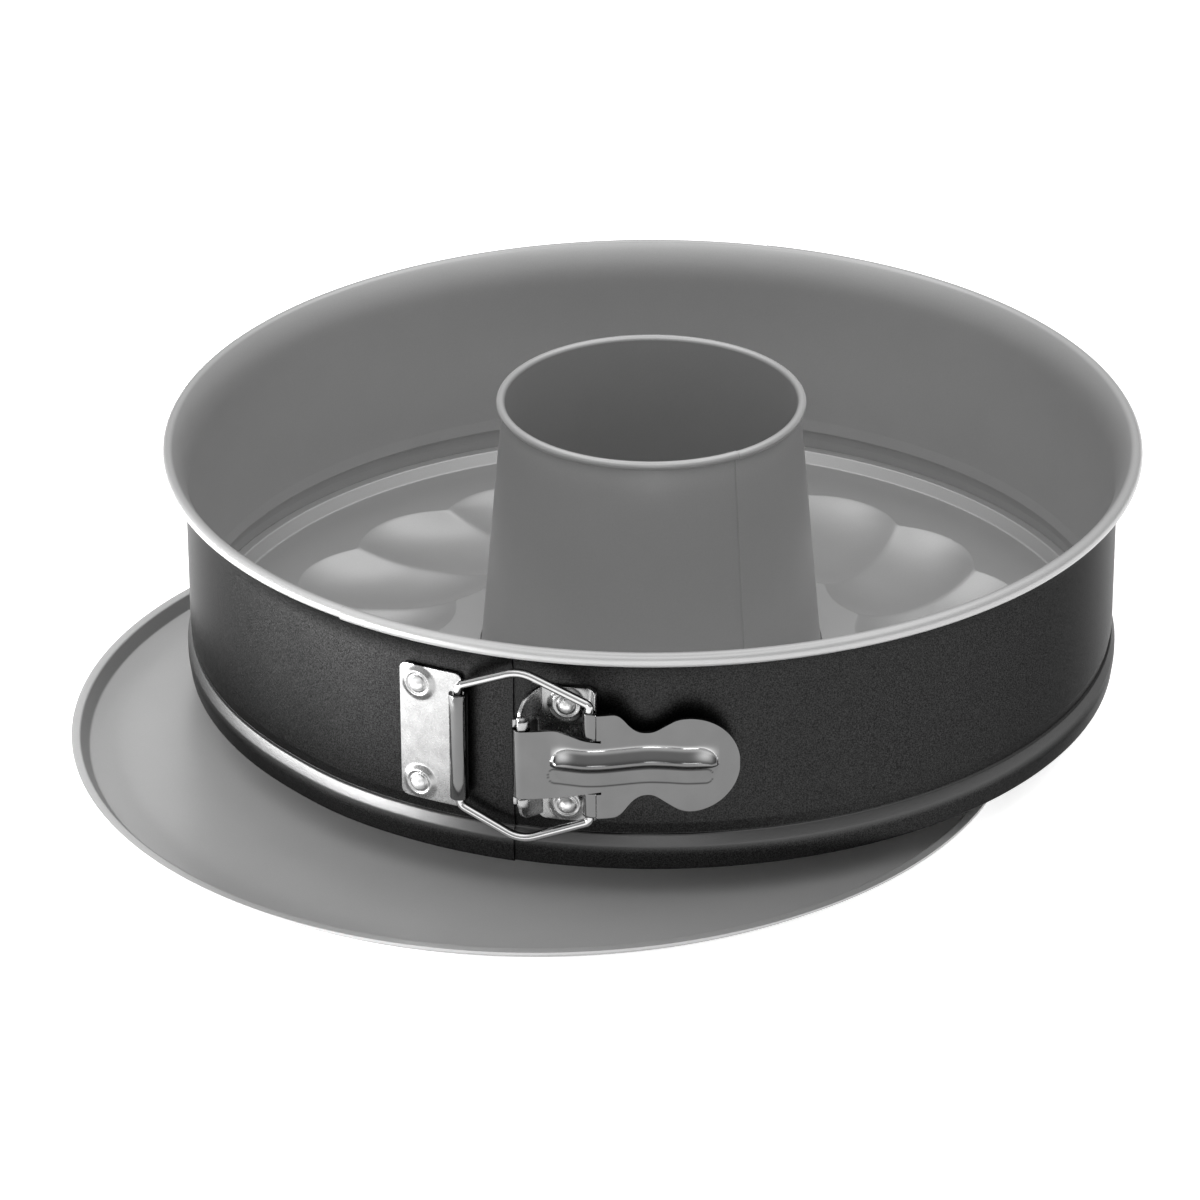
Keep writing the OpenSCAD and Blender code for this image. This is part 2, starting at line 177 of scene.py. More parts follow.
def at(r, station, z):
    """The point at a radius, an angle from the front towards the right, and a height."""
    turn = math.radians(station)
    return Vector((r * math.sin(turn), -r * math.cos(turn), z)) * MM


def settle():
    """Leaves edit mode and deselects everything."""
    if bpy.context.object and bpy.context.object.mode != "OBJECT":
        bpy.ops.object.mode_set(mode="OBJECT")
    bpy.ops.object.select_all(action="DESELECT")


def hold(obj, mode="OBJECT"):
    """Makes obj the only one selected and active, in that mode."""
    settle()
    obj.select_set(True)
    bpy.context.view_layer.objects.active = obj
    if mode != "OBJECT":
        bpy.ops.object.mode_set(mode=mode)


def hold_all(obj):
    """Opens a mesh for editing, with all of it selected."""
    hold(obj, "EDIT")
    bpy.ops.mesh.select_all(action="SELECT")


def named(name):
    """Names the object just added, and its mesh."""
    obj = bpy.context.object
    obj.name = name
    obj.data.name = name
    return obj


def pick(obj, kind, test):
    """Selects the vertices, edges or faces of the mesh in edit mode that pass the test."""
    bpy.ops.mesh.select_mode(type=kind)
    bpy.ops.mesh.select_all(action="DESELECT")
    mesh = bmesh.from_edit_mesh(obj.data)
    for element in {"VERT": mesh.verts, "EDGE": mesh.edges, "FACE": mesh.faces}[kind]:
        if test(element):
            element.select_set(True)
    mesh.select_flush_mode()
    bmesh.update_edit_mesh(obj.data)


def rounded(corners, step=12.0):
    """A path through corners (across, up, radius), each turned with an arc of that radius."""
    points = []
    for i, (x, y, radius) in enumerate(corners):
        here = Vector((x, y))
        if radius == 0 or i in (0, len(corners) - 1):
            points.append(here)
            continue
        back = (Vector(corners[i - 1][:2]) - here).normalized()
        on = (Vector(corners[i + 1][:2]) - here).normalized()
        half = back.angle(on) / 2
        reach = radius / math.tan(half)
        middle = here + (back + on).normalized() * (radius / math.sin(half))
        start = here + back * reach - middle
        sweep = math.pi - 2 * half
        if back.x * on.y - back.y * on.x > 0:
            sweep = -sweep
        count = max(2, math.ceil(abs(math.degrees(sweep)) / step))
        for k in range(count + 1):
            points.append(middle + Matrix.Rotation(sweep * k / count, 2) @ start)
    return points


def arc(cx, cy, radius, first, last, step=8.0):
    """Points on an arc, angles in degrees."""
    count = max(2, math.ceil(abs(last - first) / step))
    turns = [math.radians(first + (last - first) * k / count) for k in range(count + 1)]
    return [Vector((cx + radius * math.cos(t), cy + radius * math.sin(t))) for t in turns]


def beside(path, distance):
    """The path moved sideways, to its right as it runs."""
    moved = []
    for i, point in enumerate(path):
        a = path[max(i, 1)] - path[max(i, 1) - 1]
        b = path[min(i + 1, len(path) - 1)] - path[min(i + 1, len(path) - 1) - 1]
        n1 = Vector((a.y, -a.x)).normalized()
        n2 = Vector((b.y, -b.x)).normalized()
        moved.append(point + (n1 + n2) * (distance / (1 + n1.dot(n2))))
    return moved


def weld(obj, threshold=None):
    """Merges points within the threshold, where one is given, and points all faces outwards."""
    hold_all(obj)
    if threshold:
        bpy.ops.mesh.remove_doubles(threshold=threshold * MM)
    bpy.ops.mesh.normals_make_consistent(inside=False)
    bpy.ops.object.mode_set(mode="OBJECT")


def shift(obj, x, y):
    """Moves a mesh sideways, in metres, and leaves its object at the origin."""
    hold_all(obj)
    bpy.ops.transform.translate(value=(x, y, 0))
    bpy.ops.object.mode_set(mode="OBJECT")


def draw(name, points):
    """A mesh of edges through points in metres, extruded one after another."""
    settle()
    bpy.ops.mesh.primitive_plane_add(size=MM)
    obj = named(name)
    bpy.ops.object.mode_set(mode="EDIT")
    bpy.ops.mesh.select_mode(type="VERT")
    bpy.ops.mesh.select_all(action="SELECT")
    bpy.ops.mesh.merge(type="CENTER")
    bpy.ops.transform.translate(value=points[0])
    for before, after in zip(points, points[1:]):
        bpy.ops.mesh.extrude_region_move(TRANSFORM_OT_translate={"value": after - before})
    bpy.ops.object.mode_set(mode="OBJECT")
    return obj


def spun(name, path, first, last, step=1.0):
    """The path of (radius, height) millimetres, drawn at one angle and spun to another."""
    obj = draw(name, [at(p[0], first, p[1]) for p in path])
    hold_all(obj)
    bpy.ops.mesh.spin(
        steps=math.ceil((last - first) / step),
        angle=math.radians(first - last),
        center=(0, 0, 0),
        axis=(0, 0, 1),
    )
    weld(obj, WELD)
    return obj


def face_to(obj, place, way):
    """Turns the whole mesh inside out unless the face nearest a place looks the given way."""
    place, way = Vector(place) * MM, Vector(way)
    nearest = min(obj.data.polygons, key=lambda p: (p.center - place).length)
    if nearest.normal.dot(way) < 0:
        hold_all(obj)
        bpy.ops.mesh.flip_normals()
        bpy.ops.object.mode_set(mode="OBJECT")


def thicken(obj, thickness, back_material=0, rim_material=0):
    """Gives a sheet its thickness, away from the way its faces look."""
    hold(obj)
    bpy.ops.object.modifier_add(type="SOLIDIFY")
    sheet = obj.modifiers[-1]
    sheet.thickness = thickness * MM
    sheet.offset = -1.0
    sheet.use_even_offset = True
    sheet.material_offset = back_material
    sheet.material_offset_rim = rim_material
    bpy.ops.object.modifier_apply(modifier=sheet.name)


def soften(obj, width, angle=40.0):
    """Rounds the sharp edges."""
    hold(obj)
    bpy.ops.object.modifier_add(type="BEVEL")
    edge = obj.modifiers[-1]
    edge.width = width * MM
    edge.segments = 2
    edge.limit_method = "ANGLE"
    edge.angle_limit = math.radians(angle)
    bpy.ops.object.modifier_apply(modifier=edge.name)


def smooth(obj, angle=40.0):
    """Shades a piece smooth, apart from edges sharper than the angle."""
    hold(obj)
    bpy.ops.object.shade_smooth_by_angle(angle=math.radians(angle))


def grid(name, across, along, place):
    """A grid whose shares from 0 to 1 each way are laid out by place, in millimetres."""
    settle()
    bpy.ops.mesh.primitive_grid_add(x_subdivisions=across, y_subdivisions=along, size=2)
    obj = named(name)
    flat = np.zeros(len(obj.data.vertices) * 3)
    obj.data.vertices.foreach_get("co", flat)
    flat = flat.reshape(-1, 3)
    laid = place((flat[:, 0] + 1) / 2, (flat[:, 1] + 1) / 2)
    obj.data.vertices.foreach_set("co", (np.stack(laid, 1) * MM).ravel())
    obj.data.update()
    return obj


def ease(t):
    """A share from 0 to 1, with a soft start and end."""
    t = np.clip(t, 0, 1)
    return t * t * (3 - 2 * t)


def join(name, objects):
    """Makes one piece of several."""
    settle()
    for obj in objects:
        obj.select_set(True)
    bpy.context.view_layer.objects.active = objects[0]
    bpy.ops.object.join()
    return named(name)


def dress(obj, *materials):
    """Gives a piece its finishes, in the order of its material numbers."""
    obj.data.materials.clear()
    for material in materials:
        obj.data.materials.append(material)


class Socket:
    """A value in a node tree, with arithmetic that adds Math nodes."""

    def __init__(self, tree, socket):
        self.tree = tree
        self.socket = socket

    def give(self, target):
        self.tree.links.new(self.socket, target)

    def math(self, operation, first, second):
        return node(self.tree, "ShaderNodeMath", {"operation": operation}, {0: first, 1: second})

    def __add__(self, other):
        return self.math("ADD", self, other)

    __radd__ = __add__

    def __mul__(self, other):
        return self.math("MULTIPLY", self, other)

    __rmul__ = __mul__


def node(tree, kind, settings=None, values=None, output=0):
    """Adds a node, sets it, fills its sockets and returns one of its outputs."""
    made = tree.nodes.new(kind)
    for key, value in (settings or {}).items():
        if key == "stops":
            elements = made.color_ramp.elements
            while len(elements) < len(value):
                elements.new(0.5)
            for element, (place, shade) in zip(elements, value):
                element.position = place
                element.color = shade
        else:
            setattr(made, key, value)
    for key, value in (values or {}).items():
        if isinstance(value, Socket):
            value.give(made.inputs[key])
        else:
            made.inputs[key].default_value = value
    return Socket(tree, made.outputs[output])


def material(name):
    """A new material with its tree, its shader and the object's own coordinates."""
    made = bpy.data.materials.new(name)
    made.use_nodes = True
    tree = made.node_tree
    shader = tree.nodes["Principled BSDF"]
    place = node(tree, "ShaderNodeTexCoord", output=3)
    return made, tree, shader, place


def grain(tree, place, scale, detail=2.0):
    """Noise between 0 and 1, with about that many grains in a metre."""
    return node(tree, "ShaderNodeTexNoise", {}, {"Vector": place, "Scale": scale, "Detail": detail})


def mixed(tree, share, first, second):
    """One colour turning into another."""
    sockets = {0: share, 6: first, 7: second}
    return node(tree, "ShaderNodeMix", {"data_type": "RGBA"}, sockets, output=2)


def tone(tree, share, base, spread):
    """A colour that varies by a share of itself, darker to lighter."""
    dark = (*(level * (1 - spread) for level in base), 1)
    light = (*(level * (1 + spread) for level in base), 1)
    return mixed(tree, share, dark, light)


def ramp(tree, share, stops):
    """A grey level that follows (place, level) stops along a share from 0 to 1."""
    stops = [(place, (level, level, level, 1)) for place, level in stops]
    return node(tree, "ShaderNodeValToRGB", {"stops": stops}, {0: share})


def sheen(tree, shader, fine, roughness, relief, metallic=1.0):
    """Sets roughness (least, spread) by a grain, relief (grain, strength, depth) and metal."""
    least, spread = roughness
    (least + fine * spread).give(shader.inputs["Roughness"])
    height, strength, depth = relief
    values = {"Height": height, "Strength": strength, "Distance": depth}
    node(tree, "ShaderNodeBump", {}, values).give(shader.inputs["Normal"])
    shader.inputs["Metallic"].default_value = metallic


def grey_coat():
    """Grey non-stick coat."""
    made, tree, shader, place = material("grey_coat")
    fine = grain(tree, place, scale=2600.0)
    wide = grain(tree, place, scale=60.0)
    shade = tone(tree, fine * 0.7 + wide * 0.3, finishes().grey_coat, spread=0.1)
    shade.give(shader.inputs["Base Color"])
    sheen(tree, shader, fine, (0.30, 0.06), (fine, 0.12, 0.0001), metallic=0.4)
    return made


# How much painted highlight the black coat has on the groove's shoulder, by height above the table in
# tenths of a metre
PAINTED_GROOVE_BAND = [(0.15, 0.0), (0.172, 1.0), (0.196, 1.0), (0.203, 0.0)]
# How light its specks are, by the grain
SPECKS = [(0.34, 0.0), (0.7, 1.0)]
EDGE_TINT = (0.5, 0.5, 0.5, 1)


def black_coat():
    """Speckled black coat, with a painted highlight along the groove."""
    made, tree, shader, place = material("black_coat")
    fine = grain(tree, place, scale=3000.0, detail=1.0)
    specks = tone(tree, ramp(tree, fine, SPECKS), finishes().black_coat, spread=0.55)
    height = node(tree, "ShaderNodeSeparateXYZ", {}, {0: place}, output=2)
    # Painted highlight: a lighter band round the groove's shoulder
    painted = ramp(tree, height * 10, PAINTED_GROOVE_BAND)
    with_highlight = mixed(tree, painted, specks, (*finishes().groove_highlight, 1))
    with_highlight.give(shader.inputs["Base Color"])
    sheen(tree, shader, fine, (0.30, 0.1), (fine, 0.35, 0.0001))
    shader.inputs["Specular Tint"].default_value = EDGE_TINT
    return made


# Plain metals: colour and how much it varies, grains in a metre (fine, wide), roughness
# (least, spread), relief (strength, depth) and share of metal
METALS = {
    "polished_steel": ("steel", 0.09, (1500.0, 150.0), (0.10, 0.08), (0.10, 0.0002), 1.0),
    "plated_steel": ("plating", 0.35, (1500.0, 220.0), (0.22, 0.12), (0.15, 0.0002), 1.0),
    "rivet_heads": ("rivets", 0.12, (1300.0, 1300.0), (0.34, 0.12), (0.2, 0.0002), 0.8),
    "drawn_wire": ("wire", 0.09, (1500.0, 1500.0), (0.07, 0.06), (0.05, 0.0001), 1.0),
}
# Dark colour of the painted shade along the lever's creases
PAINTED_SHADE_COLOUR = (0.03, 0.03, 0.03, 1)


def metal(kind, name):
    """A plain metal's material with its tree, its shader and the colour that it is given."""
    finish, spread, scales, roughness, relief, metallic = METALS[kind]
    made, tree, shader, place = material(name)
    fine, wide = (grain(tree, place, scale) for scale in scales)
    shade = tone(tree, wide, getattr(finishes(), finish), spread)
    shade.give(shader.inputs["Base Color"])
    sheen(tree, shader, fine, roughness, (wide, *relief), metallic)
    return made, tree, shader, shade


def lever_steel():
    """Polished steel, with painted shade along the creases of the pressing and a painted highlight on
    its rib.
    """
    made, tree, shader, shade = metal("polished_steel", "lever_steel")
    # Painted shade along the creases of the lever's strip
    crease = node(tree, "ShaderNodeAttribute", {"attribute_name": "crease"}, output=2)
    # Painted highlight on the rib, mixed in below in the rivets' colour
    polish = node(tree, "ShaderNodeAttribute", {"attribute_name": "polish"}, output=2)
    with_painted_shade = mixed(tree, crease, shade, PAINTED_SHADE_COLOUR)
    mixed(tree, polish, with_painted_shade, (*finishes().rivets, 1)).give(shader.inputs["Base Color"])
    return made


FLOOR_GLOW = 0.6


def pale_floor():
    """White card that glows a little, so that it stays white round the pan."""
    made, tree, shader, place = material("pale_floor")
    fine = grain(tree, place, scale=30.0)
    tone(tree, fine, finishes().floor, spread=0.01).give(shader.inputs["Base Color"])
    shader.inputs["Roughness"].default_value = 0.9
    shader.inputs["Specular IOR Level"].default_value = 0.1
    shader.inputs["Emission Color"].default_value = (1, 1, 1, 1)
    shader.inputs["Emission Strength"].default_value = FLOOR_GLOW
    return made


def finish_of(name):
    """The finish of that name, made at its first use."""
    others = {
        "grey_coat": grey_coat,
        "black_coat": black_coat,
        "lever_steel": lever_steel,
        "pale_floor": pale_floor,
    }
    if name in bpy.data.materials:
        return bpy.data.materials[name]
    return others[name]() if name in others else metal(name, name)[0]


# The band

WALL_R = 127.4
WALL_MIDDLE_Z = 40.0
WALL_START_Z = 30.0
# From the lower lip up: radius, height above the ring's foot, rounding
GROOVE = [
    (124.4, 0.0, 0),
    (127.8, 0.0, 0.7),
    (128.35, 4.5, 6.0),
    (128.35, 7.1, 2.0),
    (127.4, 10.1, 0.8),
    (126.85, 10.35, 0.2),
    (WALL_R, 13.5, 3.0),
]
FLARE_STEPS = 8
BEAD_CURL_END = -145.0
BEAD_CURL_STEP = 12.0
LAP_TOP = BEAD_AXIS_Z - 0.85 * BEAD_R
# How near the left half's end counts as on it
END_REACH = 0.03
# Share of the lap's step that each length of the joggle has reached
JOGGLE = [0.02, 0.09, 0.2, 0.35, 0.5, 0.65, 0.8, 0.91, 0.98, 1.0]
LAP_STEPS = 22
LEFT_BEAD_STEPS = 10


def band_path(bead_r=BEAD_R):
    """The inner face of the band, from its lower lip up over the rim and round its roll."""
    top = [(WALL_R, WALL_START_Z, 0)]
    outside = rounded([(r, RING_FOOT + z, f) for r, z, f in GROOVE] + top)
    inside = beside(outside, -size("band_thickness"))
    centre_r = WALL_R - size("band_thickness") + FLARE_R
    lean = 180 - FLARE_TURN
    flare = arc(centre_r, FLARE_START_Z, FLARE_R, 180, lean, FLARE_TURN / FLARE_STEPS)
    slim = BEAD_R - bead_r
    curl = arc(
        BEAD_AXIS_R + slim * math.cos(math.radians(lean)),
        BEAD_AXIS_Z + slim * math.sin(math.radians(lean)),
        bead_r,
        lean,
        BEAD_CURL_END,
        BEAD_CURL_STEP,
    )
    return inside + flare + curl[1:]


def face_in(obj, station):
    """Makes the wall at that station look towards the ring's axis."""
    place = at(WALL_R, station, WALL_MIDDLE_Z)
    face_to(obj, place / MM, (-place.x, -place.y, 0))


def make_side_right():
    """The right half of the ring, which ends under the lap."""
    obj = spun("side_band_right", band_path(), TONGUE_END, REAR_SEAM)
    face_in(obj, 90)
    return obj


def draw_on(obj, is_drawn, turns):
    """Draws part of the left half's end on round the ring, in (degrees, outward share)."""
    edge = at(1 / MM, LAP_START, 0)
    plane = Vector((-edge.y, edge.x, 0))
    hold(obj, "EDIT")

    def at_end(vert):
        on_plane = abs(vert.co.dot(plane)) < END_REACH * MM and vert.co.dot(edge) > 0
        return on_plane and is_drawn(vert.co.xy.length / MM, vert.co.z / MM)

    pick(obj, "EDGE", lambda e: all(at_end(v) for v in e.verts))
    for degrees, scale in turns:
        bpy.ops.mesh.extrude_region_move()
        angle = -math.radians(degrees)
        bpy.ops.transform.rotate(value=angle, orient_axis="Z", center_override=(0, 0, 0))
        bpy.ops.transform.resize(value=(scale, scale, 1), center_override=(0, 0, 0))
    bpy.ops.object.mode_set(mode="OBJECT")


def make_side_left():
    """The left half of the ring, whose wall steps outwards over the right one's end."""
    obj = spun("side_band_left", band_path(LEFT_BEAD_R), -REAR_SEAM, LAP_START)
    face_in(obj, -90)
    shares = [b - a for a, b in zip([0.0] + JOGGLE, JOGGLE)]
    step = (LAP_FULL - LAP_START) / len(JOGGLE)
    turns = [(step, 1 + share * LAP_STEP / WALL_R) for share in shares]
    turns += [((SEAM - LAP_FULL) / LAP_STEPS, 1.0)] * LAP_STEPS
    draw_on(obj, lambda r, z: r < LAP_OUTER_R and z < LAP_TOP, turns)
    bead_step = (LEFT_BEAD_END - LAP_START) / LEFT_BEAD_STEPS
    bead_turns = [(bead_step, 1.0)] * LEFT_BEAD_STEPS
    draw_on(obj, lambda r, z: r > LAP_OUTER_R or z > LAP_TOP - LAP_OVERLAP, bead_turns)
    weld(obj, WELD)
    face_in(obj, -90)
    return obj


def finish_band(obj):
    """Grey inside, black outside and on the cut edges."""
    dress(obj, finish_of("grey_coat"), finish_of("black_coat"))
    thicken(obj, size("band_thickness"), back_material=1, rim_material=1)
    smooth(obj)


# The tube base

LOBE_SWIRL = -10.0
LOBE_TURN = 0.4
CUSP_R = 102.5
CORE_R = 60.0
SCALLOP_OUT = 5.3
SCALLOP_IN = 3.0
TUBE_HOLE_R = 47.6
RIDGE_ROUND = 0.05
LIP_ROUND = 0.06
LIP_W = 0.7
LAND_ROUND = 0.8
RISER_ROUND = 0.9
EDGE_REACH = 3.0
LOBE_POWER = 2.5
LOBE_ROWS = 56
LOBE_CELLS = 26
EDGE_STEP = 15.0
FLAT_R = 115.0


def make_fluted_floor():
    """The base of the ring: a raised edge, and flutes pressed down round the tube's hole."""
    land_z = FLOOR_Z + LAND_RISE
    edge = rounded(
        [
            (BASE_R, land_z, 0),
            (BASE_R - LAND_W, land_z, LAND_ROUND),
            (BASE_R - LAND_W - RISER_W, FLOOR_Z, RISER_ROUND),
            (BASE_R - LAND_W - RISER_W - EDGE_REACH, FLOOR_Z, 0),
        ],
        step=EDGE_STEP,
    )
    rows_edge = len(edge)
    rows = rows_edge + LOBE_ROWS + 3
    lobes = bpy.context.scene.ringpan_sizes.lobes
    lobe_depth, ridge_depth = size("lobe_depth"), size("ridge_depth")

    def place(u, v):
        i = np.rint(v * rows).astype(int)
        share = np.abs(2 * ((u * lobes) % 1.0) - 1)
        crest = (np.hypot(1 - share, RIDGE_ROUND) - RIDGE_ROUND) / (
            math.hypot(1, RIDGE_ROUND) - RIDGE_ROUND
        )
        bulge = 1 - (1 - crest) ** 2
        out = CUSP_R + SCALLOP_OUT * bulge
        core = CORE_R - SCALLOP_IN * bulge
        k = np.clip(i - rows_edge - 1, 0, LOBE_ROWS)
        q = np.cos(np.pi * k / LOBE_ROWS)
        lobe_r = (out + core) / 2 + q * (out - core) / 2
        depth = ridge_depth + (lobe_depth - ridge_depth) * bulge
        t = 1 - np.abs(q) ** LOBE_POWER
        t = np.sqrt(t * t + LIP_ROUND**2) - LIP_ROUND
        edge_at = np.array(edge)[np.clip(i, 0, rows_edge - 1)]
        on_edge, lip, inner, hole = i < rows_edge, i == rows_edge, i == rows - 1, i >= rows
        radii = [edge_at[:, 0], out + LIP_W, core - LIP_W, TUBE_HOLE_R]
        r = np.select([on_edge, lip, inner, hole], radii, lobe_r)
        flat = lip | inner | hole
        z = np.select([on_edge, flat], [edge_at[:, 1], FLOOR_Z], FLOOR_Z - depth * t)
        swirl = LOBE_TURN + LOBE_SWIRL * np.clip((CUSP_R - r) / (CUSP_R - CORE_R), 0, 1)
        a = np.radians(swirl + 360 * u)
        return r * np.cos(a), r * np.sin(a), z

    obj = grid("fluted_floor", lobes * LOBE_CELLS, rows, place)
    weld(obj, FLOOR_WELD)
    face_to(obj, (0, -FLAT_R, FLOOR_Z), (0, 0, 1))
    dress(obj, finish_of("grey_coat"))
    thicken(obj, size("base_thickness"))
    smooth(obj, angle=50.0)
    return obj


TUBE_TOP_Z = 84.2
TUBE_BEAD_R = 1.2
TUBE_T = 0.7
TUBE_SEAM = 48.4
TUBE_FLANGE_W = 2.7
TUBE_FOOT_ROUND = 1.2
TUBE_BEAD_TURN = (175.0, -110.0)
SPIN_STEP = 1.5
# The tube's lap: its step, and in degrees how far it fades, its edge and the first turn after it
SEAM_STEP = 0.35
SEAM_FADE = 50.0
SEAM_EDGE = 0.3
SEAM_FIRST = 2.0
SEAM_SAME = 0.1
SEAM_NUDGE = 0.01


def make_tube():
    """The tapered tube, rolled at its top and lapped along one line."""
    low = FLOOR_Z - size("base_thickness") - TUBE_T
    inner_top = size("tube_top") - TUBE_T
    corners = [
        (size("tube_foot") + TUBE_FLANGE_W, low, 0),
        (size("tube_foot") - TUBE_T, low, TUBE_FOOT_ROUND),
        (inner_top, TUBE_TOP_Z, 0),
    ]
    bead = arc(inner_top + TUBE_BEAD_R, TUBE_TOP_Z, TUBE_BEAD_R, *TUBE_BEAD_TURN, EDGE_STEP)
    path = rounded(corners) + bead
    obj = spun("centre_tube_lapped", path, TUBE_SEAM, TUBE_SEAM + 360, SPIN_STEP)
    for vertex in obj.data.vertices:
        x, y, z = vertex.co
        past_seam = (math.degrees(math.atan2(x, -y)) - TUBE_SEAM + SEAM_NUDGE) % 360
        if past_seam > SEAM_SAME:
            turned = SEAM_EDGE if past_seam < SEAM_FIRST else past_seam
            lift = SEAM_STEP * float(ease(1 - turned / SEAM_FADE))
            r = math.hypot(x, y) / MM + lift
            vertex.co = at(r, TUBE_SEAM + turned, z / MM)
    face_to(obj, (inner_top, 0, WALL_MIDDLE_Z), (-1, 0, 0))
    dress(obj, finish_of("grey_coat"))
    thicken(obj, TUBE_T)
    smooth(obj)
    return obj


SPARE_FOOT_ROUND = 1.0
SPARE_LOOK_R = 5.0


def make_spare_base():
    """The flat base that lies under the pan, with its raised edge."""
    top = size("base_thickness")
    path = rounded(
        [
            (SPARE_POLE_R, top, 0),
            (SPARE_R - LAND_W - RISER_W, top, SPARE_FOOT_ROUND),
            (SPARE_R - LAND_W, top + LAND_RISE, RISER_ROUND),
            (SPARE_R, top + LAND_RISE, 0),
        ],
        step=EDGE_STEP,
    )
    obj = spun("spare_base", path, 0, 360, SPIN_STEP)
    face_to(obj, (SPARE_LOOK_R, 0, top), (0, 0, 1))
    low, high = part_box("flat_base")
    shift(obj, (low.x + high.x) / 2, (low.y + high.y) / 2)
    dress(obj, finish_of("grey_coat"))
    thicken(obj, top)
    smooth(obj)
    return obj


# The clasp

PLATE_HALF = 19.3
PLATE_T = 1.0
PLATE_CORNER = 2.0
PLATE_EDGE = 0.15
PLATE_PITCH_X = 0.22
PLATE_PITCH_Z = 0.25
SHEET_T = 0.9
SHEET_EDGE = 0.12
RIVET_Z = 14.4
# The dish round a rivet: its foot, its top, and the ring pressed in under the head
BOSS_R = 5.2
BOSS_TOP_R = 3.0
PRESSED_R = 2.7
PRESSED_W = 0.45
PRESSED_IN = 0.35


def plate_grid(name, width, radius, station, rivet_x, lift=None):
    """A plate with rounded corners, bent round the ring, with a dished boss round each rivet."""

    def place(u, v):
        x = (u - 0.5) * width
        z = (v - 0.5) * 2 * PLATE_HALF
        near = np.clip((np.abs(z) - (PLATE_HALF - PLATE_CORNER)) / PLATE_CORNER, 0, 1)
        pull = PLATE_CORNER * (1 - np.sqrt(1 - near**2))
        x = x * (1 - pull / (width / 2))
        y = np.zeros_like(x)
        for rivet_z in (RIVET_Z, -RIVET_Z):
            d = np.hypot(x - rivet_x, z - rivet_z)
            y = y + size("boss_rise") * ease((BOSS_R - d) / (BOSS_R - BOSS_TOP_R))
            y = y - PRESSED_IN * np.exp(-(((d - PRESSED_R) / PRESSED_W) ** 2))
        if lift:
            y = y + lift(x)
        a = np.radians(station) + x / radius
        r = radius + y + PLATE_T
        return r * np.sin(a), -r * np.cos(a), z + CLASP_Z

    across, along = int(width / PLATE_PITCH_X), int(2 * PLATE_HALF / PLATE_PITCH_Z)
    obj = grid(name, across, along, place)
    weld(obj)
    front = at(radius, station, CLASP_Z)
    face_to(obj, front / MM, (front.x, front.y, 0))
    thicken(obj, PLATE_T)
    return obj


def rolled(name, path, low, high, steps):
    """A sheet whose plan is a path in millimetres, drawn up from one height to another."""
    obj = draw(name, [Vector((p[0], p[1], low + CLASP_Z)) * MM for p in path])
    hold_all(obj)
    rise = {"value": (0, 0, (high - low) / steps * MM)}
    for _ in range(steps):
        bpy.ops.mesh.extrude_region_move(TRANSFORM_OT_translate=rise)
    weld(obj)
    return obj


LEAF_STATION = -11.25
LEAF_W = 17.8
LEAF_R = 128.3
LEAF_RIVET = -12.75
BARREL_R = 2.45
BARREL_HALF = 15.1
BARREL_STEPS = 6
# The roll's start and end, in degrees from the way to its axis
BARREL_TURN = (-100, 215)


def make_hinge_leaf():
    """The left plate, rolled round the wire along its free edge."""
    rivet_x = math.radians(LEAF_RIVET - LEAF_STATION) * LEAF_R
    leaf = plate_grid("hinge_leaf", LEAF_W, LEAF_R, LEAF_STATION, rivet_x)
    soften(leaf, PLATE_EDGE)
    out = math.degrees(math.atan2(BARREL[1], BARREL[0]))
    curl = arc(*BARREL, BARREL_R, out + BARREL_TURN[0], out + BARREL_TURN[1], 10.0)
    roll = rolled("roll", curl, -BARREL_HALF, BARREL_HALF, BARREL_STEPS)
    face_to(roll, (BARREL[0], BARREL[1] - BARREL_R, CLASP_Z), (0, -1, 0))
    thicken(roll, SHEET_T)
    soften(roll, SHEET_EDGE)
    dress(leaf, finish_of("plated_steel"))
    dress(roll, finish_of("polished_steel"))
    obj = join("hinge_leaf", [leaf, roll])
    smooth(obj)
    return obj


RIVET_HEAD_R = 2.5
RIVET_HEAD_EDGE = 0.1
RIVET_SHANK_R = 1.5
RIVET_LIFT = 0.5
DOME_TOP = 1.75
DOME_R = 2.3
DOME_SINK = 0.55
DOME_TURN = (84, 20)
LEAF_RIVET_BACK_R = 127.8
BRACKET_RIVET_BACK_R = 126.2


def make_rivet(name, station, z, back, seat):
    """A domed rivet, from its back to its head on the plate."""
    path = [(POLE_R, DOME_TOP)]
    path += arc(0, -DOME_SINK, DOME_R, *DOME_TURN)
    path += [(RIVET_HEAD_R, RIVET_HEAD_EDGE), (RIVET_HEAD_R, -RIVET_HEAD_EDGE)]
    path += [(RIVET_SHANK_R, -RIVET_HEAD_EDGE), (RIVET_SHANK_R, back - seat), (POLE_R, back - seat)]
    obj = spun(name, path, 0, 360, 10.0)
    outward = at(1 / MM, station, 0)
    turn = Vector((0, 0, 1)).rotation_difference(outward).to_matrix().to_4x4()
    obj.data.transform(Matrix.Translation(at(seat, station, CLASP_Z + z)) @ turn)
    dress(obj, finish_of("rivet_heads"))
    smooth(obj, angle=45.0)
    return obj


# The wire's half from the hinge to the knuckle: heights of its corners, and their rounding
WIRE_ROOT = (17.3, 2.6)
WIRE_BEND = (17.0, 24.6, 9.0)
WIRE_TIP = (16.9, 1.6)
WIRE_END_Z = 12.5
WIRE_BOW = 0.9


